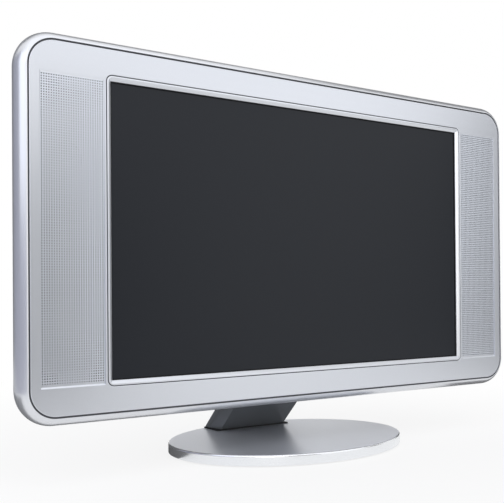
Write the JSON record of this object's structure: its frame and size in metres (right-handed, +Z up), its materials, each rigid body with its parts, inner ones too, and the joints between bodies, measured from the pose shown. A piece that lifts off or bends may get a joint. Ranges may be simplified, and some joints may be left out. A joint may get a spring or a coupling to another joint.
{
  "type": "flat screen television",
  "caption": "Flat screen television with tall perforated speakers beside the screen, a rounded silver surround, and a head that tilts on a leaning neck and oval base.",
  "frame": {"origin": "on the table under the middle of the oval base", "axes": "+X along the screen to the viewer's right, +Y from the screen to the back, +Z up"},
  "size_m": [0.691, 0.23, 0.4415],
  "materials": {
    "silver_fascia": "satin silver lacquer",
    "silver_rim": "smooth silver lacquer",
    "silver_bezel": "smooth silver lacquer",
    "silver_grille": "satin silver lacquer, perforated",
    "screen_glass": "matt anti-glare",
    "sheet_steel": "zinc-plated sheet",
    "white_plastic": "milky",
    "lamp_glass": "phosphor-coated tube",
    "tray_aluminium": "pressed sheet",
    "sink_aluminium": "extruded",
    "green_board": "solder resist",
    "brown_board": "bare laminate",
    "black_plastic": "moulded",
    "capacitor_sleeve": "shrunk sleeve",
    "coil_tape": "wound tape",
    "tin_plate": "tin-plated",
    "brass": "turned",
    "steel": "zinc-plated",
    "black_screw": "blackened",
    "driver_paper": "pressed paper and steel",
    "grey_cover": "fine spark texture",
    "button_grey": "satin",
    "dark_steel": "powder coat",
    "neck_plastic": "satin dark grey",
    "collar_black": "satin black",
    "base_silver": "satin",
    "rubber": "moulded"
  },
  "bodies": {
    "stand": {"hinge_pin": "steel", "hinge_washers": "brass", "hinge_nuts": "steel", "neck_bracket": "dark_steel", "neck_front_cover": "neck_plastic", "neck_rear_cover": "neck_plastic", "neck_screws": "black_screw", "neck_collar": "collar_black", "base_cover": "base_silver", "base_weight": "dark_steel", "base_screws": "steel", "rubber_feet": "rubber"},
    "head": {"front_fascia": "silver_fascia", "surround_rim": "silver_rim", "screen_bezel": "silver_bezel", "speaker_grille_left": "silver_grille", "speaker_grille_right": "silver_grille", "lcd_cell": "screen_glass", "lcd_frame": "sheet_steel", "lcd_brackets": "sheet_steel", "chassis_plate": "sheet_steel", "diffuser_plate": "white_plastic", "lamp_holders": "white_plastic", "backlight_lamps": "lamp_glass", "backlight_tray": "tray_aluminium", "heat_sink": "sink_aluminium", "main_board": "green_board", "inverter_board": "green_board", "socket_board": "green_board", "key_board": "green_board", "remote_sensor": "green_board", "power_board": "brown_board", "main_chips": "black_plastic", "inverter_coils": "black_plastic", "video_sockets": "black_plastic", "headphone_socket": "black_plastic", "mains_inlet": "black_plastic", "speaker_box_left": "black_plastic", "speaker_box_right": "black_plastic", "power_capacitors": "capacitor_sleeve", "power_transformer": "coil_tape", "tuner_can": "tin_plate", "aerial_socket": "tin_plate", "board_standoffs": "brass", "board_screws": "steel", "inlet_screws": "steel", "vesa_posts": "steel", "hinge_posts": "steel", "hinge_bolts": "steel", "cover_screws": "black_screw", "speaker_drivers_left": "driver_paper", "speaker_drivers_right": "driver_paper", "rear_cover": "grey_cover", "hinge_plate": "dark_steel"},
    "volume_down_button": {"volume_down_button": "button_grey"},
    "volume_up_button": {"volume_up_button": "button_grey"},
    "menu_button": {"menu_button": "button_grey"},
    "channel_down_button": {"channel_down_button": "button_grey"},
    "channel_up_button": {"channel_up_button": "button_grey"},
    "power_button": {"power_button": "button_grey"}
  },
  "joints": [
    {"name": "tilt_hinge", "type": "hinge", "parent": "stand", "child": "head", "pos_m": [0, 0.0218, 0.0826], "axis": [-1, 0, 0], "range_deg": [-5, 12]},
    {"name": "volume_down_press", "type": "slide", "parent": "head", "child": "volume_down_button", "axis": [0, 0, -1], "range_m": [0, 0.0008], "stiffness_N_per_m": 1500, "springref_m": -0.0004},
    {"name": "volume_up_press", "type": "slide", "parent": "head", "child": "volume_up_button", "axis": [0, 0, -1], "range_m": [0, 0.0008], "stiffness_N_per_m": 1500, "springref_m": -0.0004},
    {"name": "menu_press", "type": "slide", "parent": "head", "child": "menu_button", "axis": [0, 0, -1], "range_m": [0, 0.0008], "stiffness_N_per_m": 1500, "springref_m": -0.0004},
    {"name": "channel_down_press", "type": "slide", "parent": "head", "child": "channel_down_button", "axis": [0, 0, -1], "range_m": [0, 0.0008], "stiffness_N_per_m": 1500, "springref_m": -0.0004},
    {"name": "channel_up_press", "type": "slide", "parent": "head", "child": "channel_up_button", "axis": [0, 0, -1], "range_m": [0, 0.0008], "stiffness_N_per_m": 1500, "springref_m": -0.0004},
    {"name": "power_press", "type": "slide", "parent": "head", "child": "power_button", "axis": [0, 0, -1], "range_m": [0, 0.0008], "stiffness_N_per_m": 1500, "springref_m": -0.0004}
  ]
}
